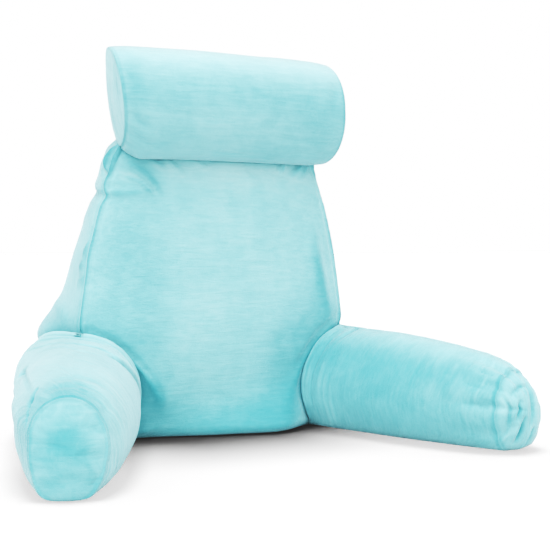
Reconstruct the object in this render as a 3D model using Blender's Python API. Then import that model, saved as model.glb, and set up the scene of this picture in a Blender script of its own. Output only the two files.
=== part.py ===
"""A reading pillow with arms: a stuffed back rest, two splayed stuffed arms and a neck roll across its top.

Metres, +Z up. The pillow stands on z = 0 and faces -Y. Its sizes are given from the point on the floor under
the middle of the front panel's seams, and at the end the whole pillow is moved so that the origin is under
its middle. Left and right are as seen by someone who looks at its front, so the left arm is at -X.
"""

import math

import bmesh
import bpy
import numpy as np

# Driving dimensions.
BACK_SEAM_HEIGHT = 0.475  # floor to the seam along the top of the front panel
BACK_TOP_RISE = 0.028  # how far the boxing strip bulges above that seam
TOP_CORNER_PULL = 0.013  # how far the two top corners are drawn in and down
REAR_CORNER_PULL = 0.012  # how far the rear corners are drawn in, across and forwards
ROLL_LENGTH = 0.334  # between the seams of the neck roll's end panels
ROLL_HALF_DEPTH = 0.072
ROLL_HALF_HEIGHT = 0.083
ROLL_CENTRE = (0.0, -0.022, 0.489)
ROLL_BEND = 0.010  # how far the ends of the roll lie behind its middle
ROLL_END_SLIM = 0.035  # share by which the roll is thinner at its end seams
LEFT_END_LEAN = 0.010  # how far the top of the roll's left end stands out, and its bottom in
LEFT_END_REAR = 0.008  # how far the rear of that end is drawn in
LEFT_END_LIFT = 0.014  # how far its lower edge is drawn up
PANEL_EDGE = 0.003  # thickness of the end panels' rims
ROLL_PANEL_CROWN = 0.005
ARM_PANEL_CROWN = {"left": 0.014, "right": 0.024}
PIECE_GAP = 0.0003  # between pieces that are sewn or pressed together
CUT_GAP = PIECE_GAP + 0.0001  # how much larger a cutter is than the cushion it stands for

BACK_CELLS = (34, 34, 9)  # across, up and from front to rear
ARM_SIDES = 44
ARM_RINGS = 19
ROLL_SIDES = 44
ROLL_RINGS = 17
SEAM_ANGLE = math.radians(55)  # skin that turns more sharply than this is a seam, and isn't shaded over

# Back rest: level sections. The half widths are to the seams, rear is the y of the rear seams (the front ones
# are at y = 0), and the crowns and the bulge are how far the stuffed panels stand out between the seams.
BACK_COLUMNS = ("height", "front_half", "rear_half", "rear", "front_crown", "rear_crown", "side_bulge")
BACK_SECTIONS = (
    (0.000, 0.200, 0.196, 0.226, 0.000, 0.000, 0.003),
    (0.035, 0.213, 0.209, 0.244, 0.016, 0.012, 0.010),
    (0.100, 0.217, 0.208, 0.246, 0.034, 0.022, 0.014),
    (0.160, 0.213, 0.197, 0.228, 0.041, 0.027, 0.014),
    (0.240, 0.203, 0.174, 0.188, 0.040, 0.029, 0.013),
    (0.320, 0.187, 0.154, 0.150, 0.034, 0.028, 0.012),
    (0.400, 0.166, 0.146, 0.118, 0.022, 0.022, 0.010),
    (0.475, 0.141, 0.137, 0.096, 0.000, 0.000, 0.007),
)

# Arm: upright sections square to its path, by the share of the path. The belly is the height of a section's
# widest line and the sink how far its round shape would reach below the floor, both as shares of the height.
# A squareness over 2 fills out the section's corners.
ARM_COLUMNS = ("share", "half_width", "height", "belly", "sink", "squareness")
ARM_SECTIONS = (
    (0.00, 0.046, 0.120, 0.52, 0.20, 2.2),
    (0.08, 0.073, 0.139, 0.54, 0.20, 2.4),
    (0.20, 0.089, 0.153, 0.50, 0.20, 2.3),
    (0.40, 0.087, 0.155, 0.44, 0.17, 2.1),
    (0.58, 0.084, 0.151, 0.41, 0.14, 2.0),
    (0.74, 0.080, 0.144, 0.42, 0.12, 2.0),
    (0.86, 0.071, 0.136, 0.44, 0.11, 2.0),
    (0.94, 0.061, 0.126, 0.47, 0.11, 2.0),
    (1.00, 0.047, 0.114, 0.50, 0.12, 2.0),
)
ARM_PATH_COLUMNS = ("share", "x", "y")
ARM_PATH = (
    (0.00, 0.160, 0.170),
    (0.20, 0.193, 0.079),
    (0.40, 0.221, -0.014),
    (0.60, 0.248, -0.108),
    (0.80, 0.280, -0.205),
    (1.00, 0.313, -0.302),
)

# Folds in the front panel: a trough, or a ridge where depth is under 0, centred at x, z and turned by angle.
FOLD_COLUMNS = ("x", "z", "angle", "length", "width", "depth")
FRONT_FOLDS = (
    (-0.120, 0.372, -42, 0.090, 0.032, 0.011),
    (-0.092, 0.380, -48, 0.054, 0.020, -0.005),
    (-0.062, 0.386, -40, 0.054, 0.020, 0.006),
    (0.130, 0.378, 50, 0.054, 0.018, 0.006),
    (0.104, 0.386, 62, 0.040, 0.016, 0.004),
    (0.172, 0.215, 84, 0.150, 0.032, 0.007),
    (-0.120, 0.115, -52, 0.080, 0.028, 0.007),
    (0.120, 0.115, 52, 0.080, 0.028, 0.006),
)

# Tucks at the end seam of each arm, by the turn round its section from the outer side over the top: how wide
# each is and how deep it draws in the tube, and how deep it runs on into the end panel.
TUCK_COLUMNS = ("turn", "width", "depth", "panel_depth")
ARM_TUCKS = {
    "left": (
        (0.08, 0.030, 0.0035, 0.0010),
        (0.40, 0.034, 0.0025, 0.0015),
        (0.54, 0.030, 0.0030, 0.0015),
    ),
    "right": (
        (0.04, 0.050, 0.0035, 0.0045),
        (0.13, 0.040, 0.0045, 0.0060),
        (0.22, 0.036, 0.0040, 0.0050),
        (0.31, 0.040, 0.0050, 0.0065),
        (0.40, 0.036, 0.0035, 0.0050),
        (0.48, 0.040, 0.0050, 0.0065),
        (0.57, 0.044, 0.0040, 0.0050),
        (0.92, 0.050, 0.0030, 0.0045),
    ),
}
TUCK_REACH = 0.18  # share of the arm's path over which the tucks fade out
PANEL_TUCK_PLACE = 0.80  # share of the end panel's radius at which they are deepest, and how far they spread
PANEL_TUCK_SPREAD = 0.28

AQUA = (0.47, 0.80, 0.82, 1.0)
AQUA_SHADE = (0.40, 0.74, 0.77, 1.0)


def column(table, names, wanted, at):
    """One column of a section table at any places, as a smooth curve through its rows."""
    rows = np.array(table)
    knots, values = rows[:, 0], rows[:, names.index(wanted)]
    slopes = np.gradient(values, knots)
    at = np.clip(np.asarray(at, float), knots[0], knots[-1])
    row = np.clip(np.searchsorted(knots, at, side="right") - 1, 0, len(knots) - 2)
    width = knots[row + 1] - knots[row]
    u = (at - knots[row]) / width
    return (
        values[row] * (1 + 2 * u) * (1 - u) ** 2
        + slopes[row] * width * u * (1 - u) ** 2
        + values[row + 1] * u**2 * (3 - 2 * u)
        + slopes[row + 1] * width * u**2 * (u - 1)
    )


def eased(share, strength):
    """0 to 1, with the steps closer together near both ends."""
    return share - strength * np.sin(2 * math.pi * share) / (2 * math.pi)


def material(name, colour):
    made = bpy.data.materials.new(name)
    made.use_nodes = True
    shader = made.node_tree.nodes["Principled BSDF"]
    shader.inputs["Base Color"].default_value = colour
    shader.inputs["Roughness"].default_value = 0.9
    shader.inputs["Metallic"].default_value = 0.0
    return made


def add_object(name, points, faces, finish):
    """A smooth-shaded object from points and faces, whose seams stay crisp."""
    mesh = bpy.data.meshes.new(name)
    mesh.from_pydata([tuple(p) for p in points], [], faces)
    shell = bmesh.new()
    shell.from_mesh(mesh)
    bmesh.ops.recalc_face_normals(shell, faces=shell.faces)
    bmesh.ops.triangulate(shell, faces=shell.faces)
    shell.to_mesh(mesh)
    shell.free()
    mesh.shade_smooth()
    mesh.set_sharp_from_angle(angle=SEAM_ANGLE)
    mesh.materials.append(finish)
    made = bpy.data.objects.new(name, mesh)
    bpy.context.scene.collection.objects.link(made)
    return made


# ---------------------------------------------------------------- back rest


def box_skin(counts):
    """The skin of a box of cells: its lattice points, three whole numbers each, and its quads."""
    index, lattice, quads = {}, [], []

    def corner(place):
        if place not in index:
            index[place] = len(lattice)
            lattice.append(place)
        return index[place]

    for axis in range(3):
        one, two = (axis + 1) % 3, (axis + 2) % 3
        for side in (0, counts[axis]):
            for i in range(counts[one]):
                for j in range(counts[two]):
                    quad = []
                    for di, dj in ((0, 0), (1, 0), (1, 1), (0, 1)):
                        place = [0, 0, 0]
                        place[axis], place[one], place[two] = side, i + di, j + dj
                        quad.append(corner(tuple(place)))
                    quads.append(quad)
    return np.array(lattice), quads


def fold_relief(x, z):
    """How far the folds of the front panel push it back at x, z."""
    depth = np.zeros_like(x)
    for row in FRONT_FOLDS:
        fold = dict(zip(FOLD_COLUMNS, row))
        turn = math.radians(fold["angle"])
        along = (x - fold["x"]) * math.cos(turn) + (z - fold["z"]) * math.sin(turn)
        aside = (z - fold["z"]) * math.cos(turn) - (x - fold["x"]) * math.sin(turn)
        reach = np.exp(-((2 * along / fold["length"]) ** 4))
        depth += fold["depth"] * reach * np.exp(-((2 * aside / fold["width"]) ** 2))
    return depth


def near(share, start):
    """0 up to a share, then rising to 1 at 1."""
    return np.clip((share - start) / (1 - start), 0, 1)


def back_places(lattice):
    """Places of the back rest's skin: a box whose panels are crowned and whose seams follow BACK_SECTIONS."""
    across, up, deep = BACK_CELLS
    s = 2 * eased(lattice[:, 0] / across, 0.30) - 1  # -1 at the left seams, 1 at the right ones
    t = eased(lattice[:, 1] / up, 0.25)  # 0 at the floor, 1 at the top seams
    v = eased(lattice[:, 2] / deep, 0.30)  # 0 on the front panel, 1 on the rear one
    on_side, on_top, on_front, on_rear = abs(s) > 1 - 1e-9, t > 1 - 1e-9, v < 1e-9, v > 1 - 1e-9

    z = t * BACK_SEAM_HEIGHT
    front_half, rear_half, rear, front_crown, rear_crown, side_bulge = (
        column(BACK_SECTIONS, BACK_COLUMNS, name, z) for name in BACK_COLUMNS[1:]
    )
    x = s * (front_half + (rear_half - front_half) * v)
    y = rear * v

    # The boxing strip at the sides and the top swells between its seams, and not at its corners.
    swell = 4 * v * (1 - v)
    x = x + on_side * np.sign(s) * side_bulge * swell**0.8 * (1 - t**10)
    z = z + on_top * BACK_TOP_RISE * swell**0.6 * (1 - s**4) ** 0.7
    # The front and rear panels are crowned from seam to seam.
    crown = (1 - abs(s) ** 2.4) ** 0.75
    y = y - on_front * front_crown * crown
    y = y + (on_front & ~on_top & (t > 0)) * fold_relief(x, z) * crown
    y = y + on_rear * rear_crown * crown

    rear_corner = (near(abs(s), 0.6) * near(v, 0.6)) ** 1.5
    x = x - np.sign(s) * REAR_CORNER_PULL * rear_corner
    y = y - REAR_CORNER_PULL * rear_corner
    top_corner = (near(abs(s), 0.55) * near(t, 0.75)) ** 1.5
    x = x - np.sign(s) * TOP_CORNER_PULL * top_corner
    z = z - TOP_CORNER_PULL * top_corner
    return np.stack([x, y, z], axis=1)


def make_back(finish):
    lattice, quads = box_skin(BACK_CELLS)
    return add_object("backrest", back_places(lattice), quads, finish)


# ---------------------------------------------------------------- tubes and their end panels


def ring_solid(rings, poles):
    """A closed skin over rings of points, with a fan to a pole at each end."""
    sides = len(rings[0])
    points = [*np.concatenate(rings), *poles]
    first_pole = len(rings) * sides
    faces = []
    for ring in range(len(rings) - 1):
        for i in range(sides):
            a, b = ring * sides + i, ring * sides + (i + 1) % sides
            faces.append([a, b, b + sides, a + sides])
    last = (len(rings) - 1) * sides
    for i in range(sides):
        faces.append([(i + 1) % sides, i, first_pole])
        faces.append([last + i, last + (i + 1) % sides, first_pole + 1])
    return points, faces


def middle(points):
    """The middle of the box round some points."""
    return (points.min(axis=0) + points.max(axis=0)) / 2


def mirrored(points, side):
    return [(side * x, y, z) for x, y, z in points]


def cut_by(cushion, cutter):
    """Takes the room of a cutter out of a cushion."""
    cut = cushion.modifiers.new("room_for_" + cutter.name, "BOOLEAN")
    cut.operation = "DIFFERENCE"
    cut.solver = "EXACT"
    cut.object = cutter


def panel_rings(ring, crown):
    """Rings of a rounded end panel, from the middle of its flat inner side, round its rim, to its tip."""
    rings = [ring(0.55, PIECE_GAP), ring(0.985, PIECE_GAP)]
    for scale in (0.985, 0.90, 0.74, 0.50, 0.25, 0.01):
        rings.append(ring(scale, PIECE_GAP + PANEL_EDGE + crown * (1 - scale**2)))
    return rings


def arm_frame(share):
    """Of the right arm: the point of its path at a share, and the directions along it and across it."""
    here, ahead, behind = (
        np.array([column(ARM_PATH, ARM_PATH_COLUMNS, axis, share + step) for axis in "xy"])
        for step in (0, 0.01, -0.01)
    )
    along = (ahead - behind) / np.linalg.norm(ahead - behind)
    return here, along, np.array([-along[1], along[0]])


def tuck_relief(name, turn, wanted):
    """How far the tucks at an arm's end seam draw its skin in, at each turn round the section."""
    depth = np.zeros_like(turn)
    for row in ARM_TUCKS[name]:
        tuck = dict(zip(TUCK_COLUMNS, row))
        off = (turn - tuck["turn"] + 0.5) % 1 - 0.5
        depth += tuck[wanted] * np.exp(-((2 * off / tuck["width"]) ** 2))
    return depth


def arm_ring(name, share, scale=1.0, forward=0.0):
    """A section of an arm, laid out as on the right: shrunk by scale, and moved forward along the arm."""
    here, along, across = arm_frame(share)
    half_width, height, belly, sink, squareness = (
        float(column(ARM_SECTIONS, ARM_COLUMNS, wanted, share)) for wanted in ARM_COLUMNS[1:]
    )
    turn = np.arange(ARM_SIDES) / ARM_SIDES
    cosine, sine = np.cos(2 * math.pi * turn), np.sin(2 * math.pi * turn)
    tuck = tuck_relief(name, turn, "depth") * near(share, 1 - TUCK_REACH) ** 1.5
    side = (half_width - tuck) * scale * np.sign(cosine) * abs(cosine) ** (2 / squareness)
    reach = np.where(sine > 0, height * (1 - belly) - tuck, height * (belly + sink))
    z = height * belly + reach * scale * np.sign(sine) * abs(sine) ** (2 / squareness)
    if forward > PANEL_EDGE:
        spread = math.exp(-(((scale - PANEL_TUCK_PLACE) / PANEL_TUCK_SPREAD) ** 2))
        forward = forward - tuck_relief(name, turn, "panel_depth") * spread
    place = here + np.outer(side, across) + np.outer(forward * np.ones(ARM_SIDES), along)
    return np.column_stack([place, np.maximum(z, 0)])


def make_arm(name, side, back, finish):
    """An arm's tube, cut where it is sewn to the back rest."""
    shares = eased(np.linspace(0, 1, ARM_RINGS), 0.35)
    rings = [arm_ring(name, share) for share in shares]
    rings.append(arm_ring(name, 1.0, 0.55))
    points, faces = ring_solid(rings, [middle(rings[0]), middle(rings[-1])])
    arm = add_object("arm_" + name, mirrored(points, side), faces, finish)
    cut_by(arm, back)
    return arm


def make_arm_panel(name, side, finish):
    """The rounded panel sewn into an arm's end, crowned by the filling behind it."""
    rings = panel_rings(
        lambda scale, forward: arm_ring(name, 1.0, scale, forward), ARM_PANEL_CROWN[name]
    )
    points, faces = ring_solid(rings, [middle(rings[0]), middle(rings[-1])])
    return add_object("arm_end_" + name, mirrored(points, side), faces, finish)


def roll_ring(offset, scale=1.0, forward=0.0):
    """One upright section of the neck roll, offset from its middle, square to its bent axis."""
    angle = 2 * math.pi * np.arange(ROLL_SIDES) / ROLL_SIDES
    cosine, sine = np.cos(angle), np.sin(angle)
    half = ROLL_LENGTH / 2
    at_end = near(abs(offset) / half, 0.80)
    slim = (1 - ROLL_END_SLIM * at_end**2) * scale
    bend = math.atan(2 * ROLL_BEND * offset / half**2)
    back = ROLL_HALF_DEPTH * slim * cosine
    # The left end leans: its top stands out, and its rear and its lower edge are drawn in.
    left = max(-offset / half, 0) ** 3 * scale
    along = offset + forward * math.cos(bend) - back * math.sin(bend)
    along = along + left * (LEFT_END_REAR * np.maximum(cosine, 0) - LEFT_END_LEAN * sine)
    y = ROLL_BEND * (offset / half) ** 2 + forward * math.sin(bend) + back * math.cos(bend)
    z = ROLL_HALF_HEIGHT * slim * sine + LEFT_END_LIFT * left * at_end * np.maximum(-sine, 0)
    return np.stack([along, y, z], axis=1) + np.array(ROLL_CENTRE)


def make_roll(finish):
    offsets = ROLL_LENGTH * (eased(np.linspace(0, 1, ROLL_RINGS), 0.45) - 0.5)
    rings = [roll_ring(offset) for offset in offsets]
    rings = [roll_ring(offsets[0], 0.55), *rings, roll_ring(offsets[-1], 0.55)]
    points, faces = ring_solid(rings, [middle(rings[0]), middle(rings[-1])])
    return add_object("neck_roll", points, faces, finish)


def make_roll_panel(name, side, finish):
    """The round panel sewn into one end of the neck roll."""
    offset = side * ROLL_LENGTH / 2
    rings = panel_rings(
        lambda scale, forward: roll_ring(offset, scale, side * forward), ROLL_PANEL_CROWN
    )
    points, faces = ring_solid(rings, [middle(rings[0]), middle(rings[-1])])
    return add_object("neck_roll_end_" + name, points, faces, finish)


# ---------------------------------------------------------------- whole pillow


def grown_copy(original, by):
    """A hidden copy of a cushion, larger all round, that cuts what is sewn or pressed to the cushion."""
    copy = bpy.data.objects.new(original.name + "_cutter", original.data.copy())
    shell = bmesh.new()
    shell.from_mesh(copy.data)
    shell.normal_update()
    moved = []
    for vertex in shell.verts:
        lean = min(vertex.normal.dot(face.normal) for face in vertex.link_faces)
        moved.append(vertex.co + vertex.normal * (by / max(lean, 0.3)))
    for vertex, place in zip(shell.verts, moved):
        vertex.co = place
    shell.to_mesh(copy.data)
    shell.free()
    copy.hide_render = True
    copy.display_type = "WIRE"
    bpy.context.scene.collection.objects.link(copy)
    return copy


def centre_on_origin(pieces):
    """Moves everything so that the origin is under the middle of the pillow's box."""
    centre = middle(np.array([vertex.co for piece in pieces for vertex in piece.data.vertices]))
    for moved in bpy.data.objects:
        moved.location = (-centre[0], -centre[1], 0)


def main():
    for old in list(bpy.data.objects):
        bpy.data.objects.remove(old)
    velour = material("velour", AQUA)
    end_velour = material("end_velour", AQUA_SHADE)
    back = make_back(velour)
    roll = make_roll(velour)
    back_cutter = grown_copy(back, CUT_GAP)
    cut_by(back, grown_copy(roll, CUT_GAP))
    pieces = [back, roll]
    for name, side in (("left", -1), ("right", 1)):
        pieces.append(make_arm(name, side, back_cutter, velour))
        pieces.append(make_arm_panel(name, side, end_velour))
        pieces.append(make_roll_panel(name, side, end_velour))
    centre_on_origin(pieces)


main()
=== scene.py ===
import itertools
import math

import bpy
import numpy as np
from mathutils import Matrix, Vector
from mathutils.bvhtree import BVHTree
from mathutils.kdtree import KDTree


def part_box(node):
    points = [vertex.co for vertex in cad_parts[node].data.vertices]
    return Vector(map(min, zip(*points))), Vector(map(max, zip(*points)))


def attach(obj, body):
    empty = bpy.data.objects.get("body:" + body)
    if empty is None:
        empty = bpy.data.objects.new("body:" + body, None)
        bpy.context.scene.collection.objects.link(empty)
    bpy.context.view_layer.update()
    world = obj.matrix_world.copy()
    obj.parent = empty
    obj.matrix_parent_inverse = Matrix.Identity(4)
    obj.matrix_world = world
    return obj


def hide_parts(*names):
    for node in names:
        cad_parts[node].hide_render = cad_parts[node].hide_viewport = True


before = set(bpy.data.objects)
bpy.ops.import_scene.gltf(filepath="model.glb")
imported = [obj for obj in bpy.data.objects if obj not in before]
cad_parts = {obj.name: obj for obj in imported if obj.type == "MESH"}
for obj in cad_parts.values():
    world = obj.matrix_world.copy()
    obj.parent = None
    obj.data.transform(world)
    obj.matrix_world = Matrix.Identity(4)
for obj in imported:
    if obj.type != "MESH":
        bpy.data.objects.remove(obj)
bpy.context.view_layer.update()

# Their tone has painted shade in folds, seams, creases and dents, and patches of painted light and shade
# besides nap.
# The looks of a reading pillow with arms: stuffed velour cushions with their seams, folds, tucks and nap.
# Sizes are in metres. Places are given as the CAD's source gives them, from the point on the floor under the
# middle of the front panel's seams, and SHIFT_Y moves them into the frame.

# ---- sizes that the CAD's source has too

BACK_SEAM_HEIGHT = 0.475
BACK_TOP_RISE = 0.028
TOP_CORNER_PULL = 0.013
REAR_CORNER_PULL = 0.012
ROLL_LENGTH = 0.334
ROLL_HALF_DEPTH = 0.072
ROLL_HALF_HEIGHT = 0.083
ROLL_CENTRE = (0.0, -0.022, 0.489)
ROLL_BEND = 0.010
ROLL_END_SLIM = 0.035
LEFT_END_LEAN = 0.010
LEFT_END_REAR = 0.008
LEFT_END_LIFT = 0.014
ROLL_PANEL_CROWN = 0.005
ARM_PANEL_CROWN = {"left": 0.014, "right": 0.027}

BACK_COLUMNS = ("height", "front_half", "rear_half", "rear", "front_crown", "rear_crown", "side_bulge")
BACK_SECTIONS = (
    (0.000, 0.200, 0.196, 0.226, 0.000, 0.000, 0.003),
    (0.035, 0.213, 0.209, 0.244, 0.016, 0.012, 0.010),
    (0.100, 0.217, 0.208, 0.246, 0.034, 0.022, 0.014),
    (0.160, 0.213, 0.197, 0.228, 0.041, 0.027, 0.014),
    (0.240, 0.203, 0.174, 0.188, 0.040, 0.029, 0.013),
    (0.320, 0.187, 0.154, 0.150, 0.034, 0.028, 0.012),
    (0.400, 0.166, 0.146, 0.118, 0.022, 0.022, 0.010),
    (0.475, 0.141, 0.137, 0.096, 0.000, 0.000, 0.007),
)
ARM_COLUMNS = ("share", "half_width", "height", "belly", "sink", "squareness")
ARM_SECTIONS = (
    (0.00, 0.046, 0.120, 0.52, 0.20, 2.2),
    (0.08, 0.073, 0.139, 0.54, 0.20, 2.4),
    (0.20, 0.089, 0.153, 0.50, 0.20, 2.3),
    (0.40, 0.087, 0.155, 0.44, 0.17, 2.1),
    (0.58, 0.084, 0.151, 0.41, 0.14, 2.0),
    (0.74, 0.080, 0.144, 0.42, 0.12, 2.0),
    (0.86, 0.071, 0.136, 0.44, 0.11, 2.0),
    (0.94, 0.061, 0.126, 0.47, 0.11, 2.0),
    (1.00, 0.047, 0.114, 0.50, 0.12, 2.0),
)
ARM_PATH_COLUMNS = ("share", "x", "y")
ARM_PATH = (
    (0.00, 0.160, 0.170),
    (0.20, 0.193, 0.079),
    (0.40, 0.221, -0.014),
    (0.60, 0.248, -0.108),
    (0.80, 0.280, -0.205),
    (1.00, 0.313, -0.302),
)
ARM_TUCKS = {  # turn, width as a share of a turn, and depth
    "left": (
        (0.08, 0.030, 0.0035),
        (0.40, 0.034, 0.0025),
        (0.54, 0.030, 0.0030),
    ),
    "right": (
        (0.04, 0.050, 0.0035),
        (0.13, 0.040, 0.0045),
        (0.22, 0.036, 0.0040),
        (0.31, 0.040, 0.0050),
        (0.40, 0.036, 0.0035),
        (0.48, 0.040, 0.0050),
        (0.57, 0.044, 0.0040),
        (0.92, 0.050, 0.0030),
    ),
}
TUCK_REACH = 0.18
SHIFT_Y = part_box("neck_roll")[0].y + ROLL_HALF_DEPTH - ROLL_CENTRE[1]

# ---- sizes of the looks

BACK_CELLS = (166, 176, 56)  # across, up and from front to rear
ARM_CELLS = (240, 300)  # round and along
ROLL_CELLS = (230, 220)
PANEL_RINGS = 54
EDGE_EASE = 0.62  # how much closer together the cells are at the seams than in the middle
BASE_ROUND = 0.017  # radius at which the back rest's skin turns under it
FLOOR_SOFTNESS = 0.008  # how gently an arm's skin turns under it
ROLL_TOP_SLIM = 0.955  # how much lower the roll's upper half is than in the CAD
ROLL_LOW_SLIM = 0.975
RIGHT_END_LEAN = 0.006  # how far the lower half of the roll's right end leans out
RIM_ROUND = 0.0031  # radius of the corner at an end seam, half of it on the tube and half on its end panel
RIM_STEPS = 5
SLIT = 0.00006  # between the two halves of that corner
RIM_REACH = RIM_ROUND * math.sin(math.pi / 4)  # how far its half on the tube reaches along it
RIM_LIP = 0.004  # how much smaller the first ring behind a rim is, as a share
CAP_SCALES = (0.88, 0.7, 0.4)  # the rings of the hidden cap behind an end panel
PANEL_BACK_SCALES = (0.5, 0.9)  # and those of the panel's back
FACE_SHARE = 0.985  # the rings of a panel's face stop this far towards its middle
SEAM_DEPTH = 0.0016  # how far the seams are drawn in, and how wide that is to each side
SEAM_WIDTH = 0.0012
WELT_HEIGHT = 0.0010  # the seam allowance that shows as a soft welt beside the seam
WELT_PLACE = 0.0050
WELT_WIDTH = 0.0024
PUCKER_HEIGHT = 0.0008
PUCKERS = ((0.010, 0.035, 1.0), (0.024, 0.060, 0.7))  # their size along the seam and away from it, and share
PUCKER_START = 0.006  # how far from a seam its puckers are full, and how far they reach
PUCKER_REACH = 0.017
END_PUCKERS = 0.8  # how strong the puckers are at an end seam
SWELLS = ((0.110, 0.0018), (0.042, 0.0006))  # the filling's lumps: their size and how far they stand out
ROLL_SEAM_SHADE = 0.0038  # the painted shade at a seam, as deep as that of a fold of this depth, and how wide that is
ARM_SEAM_SHADE = {"left": 0.0030, "right": 0.0042}
BACK_SEAM_SHADE = 0.0042
SEAM_SHADE_REACH = 0.0026
ROLL_CLEARANCE = 0.00006  # between the roll and the hollow that it presses into the back rest
FOLD_TAPER = 0.7  # how gently a fold runs out at its two ends
RELIEF_START = 0.004  # how far from an end seam the relief is full
SWELL_START = 0.020  # and the swell of the back rest's and the arms' filling
FLOOR_CALM = 0.012  # below this height the relief fades out towards the floor
# Small ripples in a panel's cloth: seed, height, and size across the panel and up it.
ROLL_PANEL_RIPPLES = ((62, 0.0006, 0.018, 0.050), (63, 0.0003, 0.008, 0.030))
ARM_PANEL_RIPPLES = {
    "left": ((83, 0.0005, 0.050, 0.013),),
    "right": ((83, 0.0005, 0.050, 0.013), (85, 0.0011, 0.0055, 0.050)),
}
BACK_RIPPLES = (21, 0.0003, 0.060, 0.009, 0.200)  # and from front to rear

# Folds, in millimetres: a0, b0, a1 and b1, the two ends of each in the panel's own coordinates, then its bow
# sideways, its width and its depth, under 0 for a ridge. A last number, where there is one, is its skew: the
# share by which it is wider on one side of its line and narrower on the other.
FRONT_FOLDS = (  # a is x and b is z
    (-166, 418, -94, 352, 6, 12, 4.4, 0.35),
    (-176, 390, -120, 372, 4, 8, -2.4),
    (-196, 363, -112, 361, -3, 6, 4),
    (-150, 400, -97, 352, 9, 4, 3, 0.3),
    (-146, 390, -104, 352, 7, 2.6, -3),
    (-150, 382, -108, 350, 5, 3, 3.4),
    (-168, 386, -138, 378, 2, 2.6, 2.2),
    (-176, 376, -148, 371, 1, 2.6, 1.8),
    (-118, 408, -90, 392, 2, 3.4, 4.4, 0.3),
    (-92, 409, -62, 383, 2, 3.6, 4.8, 0.3),
    (-54, 410, -26, 393, 2, 4.5, 2.6),
    (104, 416, 92, 390, 0, 4.5, 4.2),
    (144, 416, 108, 386, 3, 5.5, 6),
    (150, 410, 124, 384, 2, 4, 5),
    (26, 388, 54, 380, 0, 8, 1.8),
    (84, 384, 108, 374, 0, 8, 1.5),
    (148, 324, 188, 158, -6, 15, 5.5),
    (-212, 168, -98, 64, 14, 4, -3.6),
    (-206, 158, -104, 60, 14, 4.5, 4),
    (-140, 112, -92, 46, 6, 12, 3.5),
    (222, 180, 112, 74, -16, 8, -4.5),
    (212, 164, 114, 70, -14, 7, 4.5),
    (-128, 94, -90, 30, 4, 14, 3),
    (134, 100, 94, 28, -4, 14, 3),
    (-134, 6, -88, 26, 0, 5, 1.8),
    (20, 262, 92, 258, 2, 5, 0.7),
    (-20, 218, 96, 210, 4, 6, 0.8),
)


# Patches of tone, partly nap that lies another way and partly painted light and shade: a, b and the reach in
# each, in thousandths of a metre or of a turn, and how much paler the velour looks there, under 0 where it
# looks deeper.
# Mostly painted light and shade: deeper low down, on the right, by the left arm's root and under the roll's
# left end, and paler in a band just under the roll, where its shade falls; the two left bands are partly nap.
BACK_PATCHES = (  # a is x and b is z
    (-128, 250, 40, 150, -0.2),
    (-170, 280, 26, 110, -0.12),
    (30, 402, 170, 30, 0.48),
    (-130, 388, 30, 24, -0.22),
    (165, 160, 40, 130, -0.3),
    (108, 86, 56, 80, -0.44),
    (80, 30, 110, 40, -0.26),
    (-20, 10, 200, 44, -0.44),
    (-170, 130, 50, 40, -0.18),
    (-108, 72, 22, 40, -0.24),
)
# Painted shade: a band above the arm's root, the hollow under the roll's end and the pinched folds beside the
# seam; the broad patch is partly nap.
SIDE_PATCHES = (  # a is y and b is z
    (80, 170, 90, 20, -0.42),
    (60, 300, 90, 130, -0.1),
    (5, 402, 6, 14, -0.22),
    (12, 280, 8, 11, -0.32),
    (20, 257, 8, 12, -0.32),
    (16, 236, 9, 8, -0.26),
)
# Painted light and shade: paler over the roll's top, where the light falls, and deeper on its front, low on the
# right and by its left end.
ROLL_PATCHES = (  # a is the offset and b the turn
    (0, 470, 300, 70, -0.34),
    (120, 540, 70, 80, -0.14),
    (-150, 450, 14, 110, -0.2),
    (0, 285, 300, 105, 0.4),
    (-60, 660, 90, 40, 0.08),
)
# Partly nap, partly painted light and shade: the left panel paler all over and deeper in a strip by its front
# rim.
ROLL_PANEL_PATCHES = {  # a is across the panel, over 0 towards the rear, and b is up from its middle
    "left": (
        (-52, 10, 12, 70, -0.26),
        (-20, -30, 18, 30, -0.12),
        (0, 0, 200, 200, 0.13),
        (-36, 40, 8, 30, 0.14),
    ),
    "right": ((20, -20, 30, 40, -0.12),),
}
# Mostly painted shade: deeper where the left arm's end rounds down to its panel, on its outer flank and over
# the right arm's inner side; the small patches on the tops are nap.
ARM_PATCHES = {  # a is the distance along from the end seam and b the turn
    "left": (
        (0, 240, 48, 170, -0.6),
        (20, 0, 70, 120, -0.32),
        (140, 30, 120, 50, -0.24),
        (250, 210, 35, 60, -0.16),
        (160, 320, 30, 50, -0.12),
        (200, 250, 110, 120, 0.06),
        (95, 140, 25, 30, 0.1),
    ),
    "right": (
        (200, 520, 400, 150, -0.44),
        (200, 390, 400, 70, -0.34),
        (48, 440, 12, 50, 0.14),
        (90, 470, 22, 50, 0.1),
        (300, 520, 50, 80, 0.08),
    ),
}
# Painted shade: each end panel deeper in its middle and low down; the small pale patch on the right one is nap.
ARM_PANEL_PATCHES = {  # a is across the panel and b is z
    "left": (
        (2, 72, 34, 28, -0.4),
        (0, 30, 60, 60, -0.2),
    ),
    "right": (
        (0, 45, 40, 30, -0.3),
        (-20, 105, 20, 14, 0.06),
    ),
}


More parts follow.
